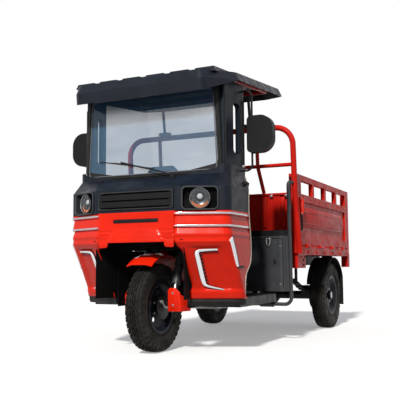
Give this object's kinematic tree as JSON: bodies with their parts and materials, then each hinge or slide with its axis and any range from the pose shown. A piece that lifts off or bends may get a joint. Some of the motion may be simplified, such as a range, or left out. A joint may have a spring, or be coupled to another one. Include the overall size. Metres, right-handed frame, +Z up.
{
  "type": "three-wheeled cargo motor tricycle",
  "caption": "Cargo motor tricycle with an open-sided half cab, roof and windscreen over a sprung front fork, and a fenced cargo bed with drop sides behind.",
  "frame": {"origin": "on the ground, halfway along and across the vehicle", "axes": "+X to the vehicle's left, +Y to its rear, +Z up"},
  "size_m": [1.55, 2.82, 1.878],
  "materials": {
    "tyre_rubber": "matt",
    "wheel_paint": "satin",
    "black_steel": "satin",
    "red_paint": "gloss",
    "navy_cowl": "satin",
    "black_plastic": "matt",
    "fork_steel": "bright",
    "lamp_clear": "clear",
    "lamp_white": "gloss",
    "lamp_red": "gloss",
    "bright_trim": "polished",
    "screen_glass": "clear",
    "seal_rubber": "matt",
    "grey_paint": "satin",
    "seat_vinyl": "grained",
    "engine_alloy": "cast"
  },
  "bodies": {
    "chassis": {"frame": "black_steel", "floor_pan": "black_steel", "wheel_housing": "black_plastic", "corner_panels": "red_paint", "front_panel": "red_paint", "cowl": "navy_cowl", "grille": "black_plastic", "headlamps": "lamp_clear", "trim_strips": "bright_trim", "running_lamps": "lamp_white", "cab_pillars": "navy_cowl", "windscreen": "screen_glass", "windscreen_seal": "seal_rubber", "roof": "navy_cowl", "roof_frame": "red_paint", "mirrors": "black_plastic", "dashboard": "black_plastic", "seat_box": "grey_paint", "seat_shelf": "black_plastic", "seat_cushion": "seat_vinyl", "seat_back": "seat_vinyl", "engine": "engine_alloy", "silencer": "black_steel", "side_covers": "grey_paint", "side_guards": "grey_paint", "bed_floor": "red_paint", "head_board": "red_paint", "hoop": "red_paint", "rear_axle": "black_steel", "leaf_springs": "black_steel", "rear_mudguards": "black_plastic", "tail_lamps": "lamp_red"},
    "front_wheel": {"front_tyre": "tyre_rubber", "front_rim": "wheel_paint"},
    "rear_wheel_left": {"rear_tyre_left": "tyre_rubber", "rear_rim_left": "wheel_paint"},
    "rear_wheel_right": {"rear_tyre_right": "tyre_rubber", "rear_rim_right": "wheel_paint"},
    "steering": {"fork": "fork_steel", "fork_springs": "black_steel", "front_mudguard": "red_paint", "fork_guards": "red_paint", "handlebar": "black_steel"},
    "left_gate": {"side_gate_left": "red_paint", "gate_fence_left": "red_paint"},
    "right_gate": {"side_gate_right": "red_paint", "gate_fence_right": "red_paint"},
    "rear_gate": {"tail_gate": "red_paint"}
  },
  "joints": [
    {"name": "steering_turn", "type": "hinge", "parent": "chassis", "child": "steering", "pos_m": [0, -0.9102, 0.7581], "axis": [0, 0.342, 0.9397], "range_deg": [-35, 35]},
    {"name": "front_wheel_spin", "type": "hinge", "parent": "steering", "child": "front_wheel", "pos_m": [0, -1.125, 0.285], "axis": [1, 0, 0], "continuous": true},
    {"name": "rear_wheel_left_spin", "type": "hinge", "parent": "chassis", "child": "rear_wheel_left", "pos_m": [0.556, 0.965, 0.285], "axis": [1, 0, 0], "continuous": true},
    {"name": "rear_wheel_right_spin", "type": "hinge", "parent": "chassis", "child": "rear_wheel_right", "pos_m": [-0.556, 0.965, 0.285], "axis": [1, 0, 0], "continuous": true},
    {"name": "left_gate_drop", "type": "hinge", "parent": "chassis", "child": "left_gate", "pos_m": [0.681, 0.6, 0.696], "axis": [0, 1, 0], "range_deg": [0, 180]},
    {"name": "right_gate_drop", "type": "hinge", "parent": "chassis", "child": "right_gate", "pos_m": [-0.681, 0.6, 0.696], "axis": [0, -1, 0], "range_deg": [0, 180]},
    {"name": "rear_gate_drop", "type": "hinge", "parent": "chassis", "child": "rear_gate", "pos_m": [0, 1.391, 0.696], "axis": [-1, 0, 0], "range_deg": [0, 180]}
  ]
}
